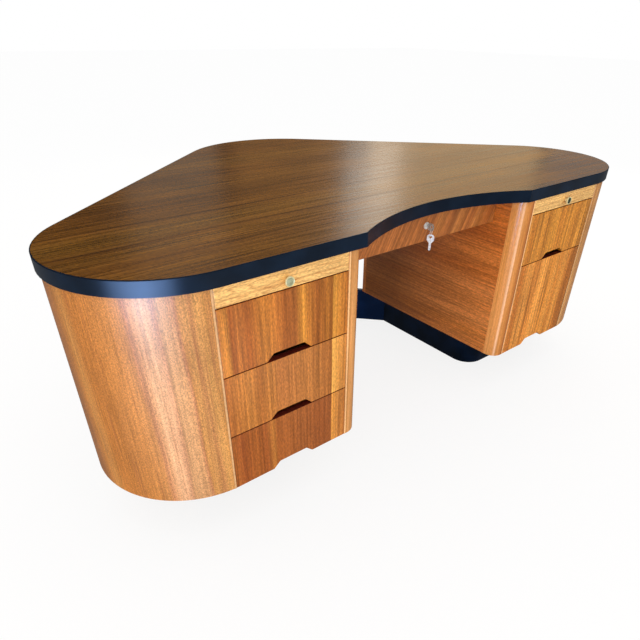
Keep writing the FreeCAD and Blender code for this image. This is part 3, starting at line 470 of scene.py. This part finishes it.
def turn_on_lathe(name, axis_x, axis_z, back_y, profile, material):
    """Turn a round piece about an axis towards the sitter, from its (radius, reach) profile in mm."""
    segments = 64
    smooth_angle = math.radians(35)
    bpy.ops.object.select_all(action="DESELECT")
    (radius, reach), *steps = profile
    centre = Vector((axis_x, back_y - reach, axis_z)) * MM
    bpy.ops.mesh.primitive_circle_add(vertices=segments, radius=radius * MM, fill_type="NGON",
                                      location=centre, rotation=(math.pi / 2, 0, 0))
    piece = bpy.context.object
    piece.name = name
    bpy.ops.object.transform_apply(location=True, rotation=True, scale=True)
    bpy.ops.object.mode_set(mode="EDIT")
    bpy.ops.mesh.select_all(action="SELECT")
    for next_radius, next_reach in steps:
        push = Vector((0, (reach - next_reach) * MM, 0))
        swell = next_radius / radius
        centre = centre + push
        bpy.ops.mesh.extrude_region_move(TRANSFORM_OT_translate={"value": push})
        bpy.ops.transform.resize(value=(swell, 1, swell), center_override=centre)
        radius, reach = next_radius, next_reach
    bpy.ops.mesh.select_all(action="SELECT")
    bpy.ops.mesh.normals_make_consistent(inside=False)
    bpy.ops.object.mode_set(mode="OBJECT")
    bpy.ops.object.shade_smooth_by_angle(angle=smooth_angle)
    piece.data.materials.append(material)
    return piece


def tone_dish(knob, axis_x, axis_z, radius_mm, patina_and_shade):
    """Put a second tone on the dished face of a knob: patina, and on the right knob painted shade."""
    looks_forward = -0.5
    knob.data.materials.append(patina_and_shade)
    for face in knob.data.polygons:
        aside = math.hypot(face.center.x - axis_x * MM, face.center.z - axis_z * MM)
        in_dish = face.normal.y < looks_forward and aside < radius_mm * MM
        face.material_index = 1 if in_dish else 0


KNOB_X, KNOB_Z, FRONT_Y = 571.5, 695.25, -602
DISH_RADIUS = 9.6
knob_brass = cast_metal("aged_brass", "#fff6c8", "#e4dca4", 0.3, metal=0.3)
knob_profile = [
    (5.5, 0), (5.5, 7.2), (7.5, 8.0), (11.4, 8.6), (12.3, 9.2), (12.5, 10.2), (12.5, 12.2), (12.2, 13.3),
    (11.6, 13.9), (10.9, 14.0), (10.2, 13.7), (DISH_RADIUS, 13.0), (6.0, 12.5), (2.0, 12.3)]
# The left dish has a pale patina. The right dish's near-black tone is painted shade, the dark reflection
# that knob shows.
for side, sign, patina_and_shade in (("left", -1, ("#c8ccaa", "#a8ac88")), ("right", 1, ("#4c5444", "#363e32"))):
    dish_brass = cast_metal(side + "_dish_patina_and_shade", *patina_and_shade, 0.4, metal=0.3)
    knob = turn_on_lathe(side + "_turned_knob", sign * KNOB_X, KNOB_Z, FRONT_Y, knob_profile, knob_brass)
    tone_dish(knob, sign * KNOB_X, KNOB_Z, DISH_RADIUS, dish_brass)
    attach(knob, "slide_" + side)
    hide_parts(side + "_slide_knob")


# Drawers
# Fronts faced with ribbon veneer, a leaf to each: upright and cut with finger pulls on the pedestals,
# where the top and bottom edges are painted dark red as shade in the gaps and pulls, and slanting on the
# pencil drawer between them.
# The boxes are bare maple with thin bottoms.

left_top_leaf = [
    (-755, "#d08030"), (-736, "#d4862e"), (-725, "#a25414"), (-709, "#c47228"), (-680, "#a85a18"),
    (-640, "#ce7e28"), (-610, "#c67626"), (-583, "#a85c1a"), (-550, "#a05a1c"), (-529, "#de9230"),
    (-512, "#c87a26"), (-485, "#a05816"), (-455, "#ba701e"), (-439, "#a8641a"), (-435, "#d89232"),
    (-415, "#c87e26"), (-388, "#c07020")]
left_middle_leaf = [
    (-755, "#b86a26"), (-728, "#c2762c"), (-690, "#cc8032"), (-660, "#b46a26"), (-632, "#cc8032"),
    (-600, "#bc7232"), (-520, "#c07834"), (-440, "#b46c2a"), (-437, "#f6b250"), (-415, "#dc9440"),
    (-388, "#cc8034")]
left_lower_leaf = [
    (-755, "#b26420"), (-725, "#a4541a"), (-690, "#ac5e1c"), (-655, "#a0541a"), (-632, "#c87c2e"),
    (-622, "#aa5e20"), (-540, "#a85e24"), (-470, "#a05620"), (-440, "#a05822"), (-437, "#e4983c"),
    (-415, "#c88036"), (-388, "#bc7028")]
right_top_leaf = [
    (388, "#d88e34"), (412, "#c4761e"), (450, "#d68c2e"), (496, "#cc8024"), (540, "#dc922e"),
    (580, "#cc7e22"), (630, "#d88c2a"), (676, "#ca7e22"), (710, "#d88e2e"), (755, "#b06e20")]
right_file_leaf = [
    (388, "#dc8a38"), (408, "#c87222"), (428, "#e29038"), (460, "#ea9a40"), (480, "#d6842c"),
    (500, "#da8630"), (518, "#e29036"), (536, "#f2a244"), (565, "#e69438"), (600, "#dc8a2c"),
    (626, "#ea9a3c"), (644, "#d28028"), (662, "#e69436"), (680, "#ee9c3c"), (700, "#d07e28"),
    (722, "#ae641a"), (755, "#aa6620")]
maple_leaf = [
    (-760, "#d4b484"), (-560, "#caa673"), (-380, "#d6b788"), (0, "#cbaa78"), (380, "#d6b788"),
    (560, "#caa673"), (760, "#d4b484")]
box_maple = lay_veneer("bare_maple", maple_leaf, GRAIN_ALONG_Y, fibre=0.06, streak=("#a98450", 0.2),
                       gloss=0.55, lacquer=0.0)
# The top and bottom edges of the pedestal fronts are dark red: painted shade for the gaps between drawers
# and the hollows of the finger pulls.
edge_shade_leaf = [(-760, "#641a0e"), (0, "#52140a"), (760, "#641a0e")]
painted_shade_edge = lay_veneer("dark_painted_shade_edge", edge_shade_leaf, GRAIN_ALONG_X, across="Z", gloss=0.5,
                          lacquer=0.1)
left_leaves = {"left_top": left_top_leaf, "left_middle": left_middle_leaf, "left_lower": left_lower_leaf}
for drawer, leaf in left_leaves.items():
    front_veneer = lay_veneer(drawer + "_front_veneer", leaf, wander_mm=3, tick=0.26,
                              streak=("#74360f", 0.3))
    finish_all((drawer + "_drawer_front",), front_veneer, edge_material=painted_shade_edge)
right_leaves = {"right_top": right_top_leaf, "right_file": right_file_leaf}
for drawer, leaf in right_leaves.items():
    front_veneer = lay_veneer(drawer + "_front_veneer", leaf, wander_mm=4, tick=0.42, fibre=0.44,
                              streak=("#94501a", 0.25))
    finish_all((drawer + "_drawer_front",), front_veneer, edge_material=painted_shade_edge)
drawer_names = [*left_leaves, *right_leaves, "pencil"]
finish_all([name + "_drawer_box" for name in drawer_names], box_maple, smooth_angle=0)
finish_all([name + "_drawer_bottom" for name in drawer_names], box_maple)

pencil_start, pencil_ribbon, pencil_count = -340, 24, 29
pencil_tones = ("#b4692c", "#a05a24", "#bc7434", "#a86428")
pencil_leaf = [(pencil_start + pencil_ribbon * step, pencil_tones[step % len(pencil_tones)])
               for step in range(pencil_count)]
pencil_veneer = lay_veneer("pencil_front_veneer", pencil_leaf, lean=-0.5, wander_mm=4,
                           streak=("#84480f", 0.35))
finish_all(("pencil_drawer_front",), pencil_veneer)


# Lock and keys
# A nickel-plated cylinder with its plug, cam and key, a split ring with a spare key, and the strike plate
# under the top. Bright plating with a faint warm cast, rubbed dull in patches; the key in the lock is
# painted darker and greyer.

nickel = cast_metal("worn_nickel", "#fbf9f4", "#dcd8d0", 0.3, metal=0.35)
nickel_names = ("lock_cylinder", "lock_plug", "lock_cam", "key_ring", "spare_key", "strike_plate")
finish_all(nickel_names, nickel, bevel_mm=0.25)
# The key in the lock is darker and greyer than the other nickel: a painted reflection of the wood around it.
nickel_painted_reflection = cast_metal("nickel_painted_reflection", "#c4bcb2", "#9c948a", 0.34, metal=0.35)
finish_all(("lock_key",), nickel_painted_reflection, bevel_mm=0.25)


# Top
# A thick panel faced with brown figured veneer, grain along the width, with two dark leaf joints.
# Its thin finish leaves the grain open, so the long streaks break up what it reflects.
# A satin black band is glued round the edge in two lengths.

top_leaf = [
    (-610, "#683f0c"), (-545, "#74490f"), (-475, "#6e430e"), (-403, "#7a4e12"), (-369, "#72460e"),
    (-364, "#341a02"), (-359, "#784c0f"), (-303, "#7b5113"), (-243, "#74490f"), (-226, "#6e430d"),
    (-222, "#3a2002"), (-217, "#70450d"), (-103, "#6a400c"), (17, "#744912"), (147, "#6e4310"),
    (297, "#764c12"), (447, "#6e420e"), (617, "#764a12")]
top_veneer = lay_veneer("brown_top_veneer", top_leaf, GRAIN_ALONG_X, wander_mm=14, fibre=0.58,
                        fibre_width_mm=8, tick=0.36, cloud=(0.76, 1.08), streak=("#3c220a", 0.35),
                        open_grain_mm=0.34, gloss=0.28, lacquer=0.0)
finish_all(("top_panel",), top_veneer)
band_black = paint_black("satin_black_band", "#0b1a29", "#11263b", 0.32, ripple_mm=(90, 90, 8),
                         varnish=0.8, shine=0.15)
finish_all(("edge_band_outer",), band_black)
bite_black = paint_black("satin_black_bite", "#0e1826", "#142234", 0.4, ripple_mm=(90, 90, 10))
finish_all(("edge_band_bite",), bite_black)


# Floor, light and camera
# A pale studio floor, a soft bright room and the photograph's own viewpoint.
# The camera sees floor and room white, and reflections see them dim but for two pools of daylight.

scene = bpy.context.scene
scene.view_settings.view_transform = "Standard"
WHITE = (1, 1, 1, 1)
floor_size = 60
floor_white_share = 0.84
floor_in_gloss, pool_in_gloss = 0.13, 1.0
pool_middle = 0.6
pool_places = (((-1.6, -1.05, 0), 0.75), ((-0.4, -1.5, 0), 0.45))
bpy.ops.object.select_all(action="DESELECT")
bpy.ops.mesh.primitive_plane_add(size=floor_size, location=(0, 0, 0))
floor = bpy.context.object
floor.name = "studio_floor"
floor_pale, floor_tree, floor_shader = new_material("pale_studio_floor")
fill_sockets(floor_tree, floor_shader, {"Base Color": linear("#fdfdfd"), "Roughness": 0.9})
paths = add_node(floor_tree, "ShaderNodeLightPath")
floor_spot = add_node(floor_tree, "ShaderNodeTexCoord").outputs["Object"]
pools = []
for pool_place, pool_radius in pool_places:
    pool_at = add_node(floor_tree, "ShaderNodeMapping",
                       {"Vector": floor_spot, "Location": pool_place, "Scale": [pool_radius] * 3},
                       vector_type="TEXTURE")
    pools.append(add_node(floor_tree, "ShaderNodeTexGradient", {0: pool_at.outputs[0]},
                          gradient_type="SPHERICAL").outputs["Fac"])
pool = add_node(floor_tree, "ShaderNodeMath", {0: pools[0], 1: pools[1]}, operation="MAXIMUM")
pool_level = add_node(floor_tree, "ShaderNodeMapRange",
                      {"Value": pool.outputs[0], "From Max": pool_middle, "To Min": floor_in_gloss,
                       "To Max": pool_in_gloss})
mirrored = add_node(floor_tree, "ShaderNodeEmission",
                    {"Color": WHITE, "Strength": pool_level.outputs["Result"]})
dimmed = add_node(floor_tree, "ShaderNodeMixShader",
                  {0: paths.outputs["Is Glossy Ray"], 1: floor_shader.outputs[0], 2: mirrored.outputs[0]})
white_share = add_node(floor_tree, "ShaderNodeMath",
                       {0: paths.outputs["Is Camera Ray"], 1: floor_white_share}, operation="MULTIPLY")
white = add_node(floor_tree, "ShaderNodeEmission", {"Color": WHITE, "Strength": 1})
blend = add_node(floor_tree, "ShaderNodeMixShader",
                 {0: white_share.outputs[0], 1: dimmed.outputs[0], 2: white.outputs[0]})
fill_sockets(floor_tree, floor_tree.nodes["Material Output"], {"Surface": blend.outputs[0]})
floor.data.materials.append(floor_pale)

room_level, room_in_gloss, room_in_view = 1.0, 0.025, 1.0
world = bpy.data.worlds.new("bright_room")
scene.world = world
world.use_nodes = True
sky = world.node_tree
sky_paths = add_node(sky, "ShaderNodeLightPath")
unseen = add_node(sky, "ShaderNodeMapRange", {"Value": sky_paths.outputs["Is Glossy Ray"],
                                              "To Min": room_level, "To Max": room_in_gloss})
sky_level = add_node(sky, "ShaderNodeMapRange", {"Value": sky_paths.outputs["Is Camera Ray"],
                                                 "To Min": unseen.outputs["Result"], "To Max": room_in_view})
fill_sockets(sky, sky.nodes["Background"], {"Color": WHITE, "Strength": sky_level.outputs["Result"]})


def add_softbox(name, place, aim, width, height, power, code, spread=180, lights_wood=True):
    """Set a soft lamp at a place, facing the aim; one that lights no wood shows only as a reflection."""
    lamp = bpy.data.lights.new(name, "AREA")
    lamp.shape = "RECTANGLE"
    lamp.size = width
    lamp.size_y = height
    lamp.energy = power
    lamp.color = linear(code)[:3]
    lamp.spread = math.radians(spread)
    hung = bpy.data.objects.new(name, lamp)
    scene.collection.objects.link(hung)
    hung.location = place
    hung.rotation_euler = (Vector(aim) - Vector(place)).to_track_quat("-Z", "Y").to_euler()
    hung.visible_camera = False
    hung.visible_diffuse = lights_wood


def behind(bearing, distance, height):
    """A place behind the desk, at a bearing from the viewer in degrees right of straight back."""
    viewer_x, viewer_y = -1.18, -1.53
    turn = math.radians(bearing)
    return (viewer_x + distance * math.sin(turn), viewer_y + distance * math.cos(turn), height)


add_softbox("front_window", place=(-2.2, -3.4, 1.7), aim=(-0.3, 0, 0.4), width=2.0, height=1.8, power=24,
            code="#fff4e6")
add_softbox("left_window", place=(-1.7, -1.3, 0.29), aim=(-0.92, -0.54, 0.743), width=1.4, height=0.25,
            power=3.2, code="#9cc4ff", spread=70, lights_wood=False)
window_distance, table_distance, table_height = 6, 1.5, 0.9
for window, bearing, middle, width, height, power, code in (
        ("back_window", 50.5, 2.0, 1.8, 2.6, 14.8, "#ffdeb0"),
        ("back_window_edge", 42.5, 2.5, 0.6, 2.0, 6.0, "#fffaf0"),
        ("right_window", 64, 2.0, 1.0, 2.6, 3.5, "#fff0e4"),
        ("room_end", 34, 2.0, 1.2, 2.6, 2.8, "#ffc080"),
        ("far_window", 22, 2.0, 1.0, 2.6, 2.2, "#fff0dc")):
    add_softbox(window, behind(bearing, window_distance, middle),
                behind(bearing, table_distance, table_height), width, height, power, code)

viewer = bpy.data.cameras.new("viewer")
viewer.sensor_width = 36
viewer.lens = 29.487
viewer.shift_x = -0.0239
viewer.shift_y = 0.0910
viewer.clip_end = 200
standing = bpy.data.objects.new("viewer", viewer)
scene.collection.objects.link(standing)
eye = (-1.1827, -1.5338, 1.1733)
yaw, pitch, roll = (math.radians(angle) for angle in (39.08, 33.85, -1.04))
standing.matrix_world = (Matrix.Translation(eye)
                         @ Matrix.Rotation(-yaw, 4, "Z")
                         @ Matrix.Rotation(math.pi / 2 - pitch, 4, "X")
                         @ Matrix.Rotation(-roll, 4, "Z"))
scene.camera = standing
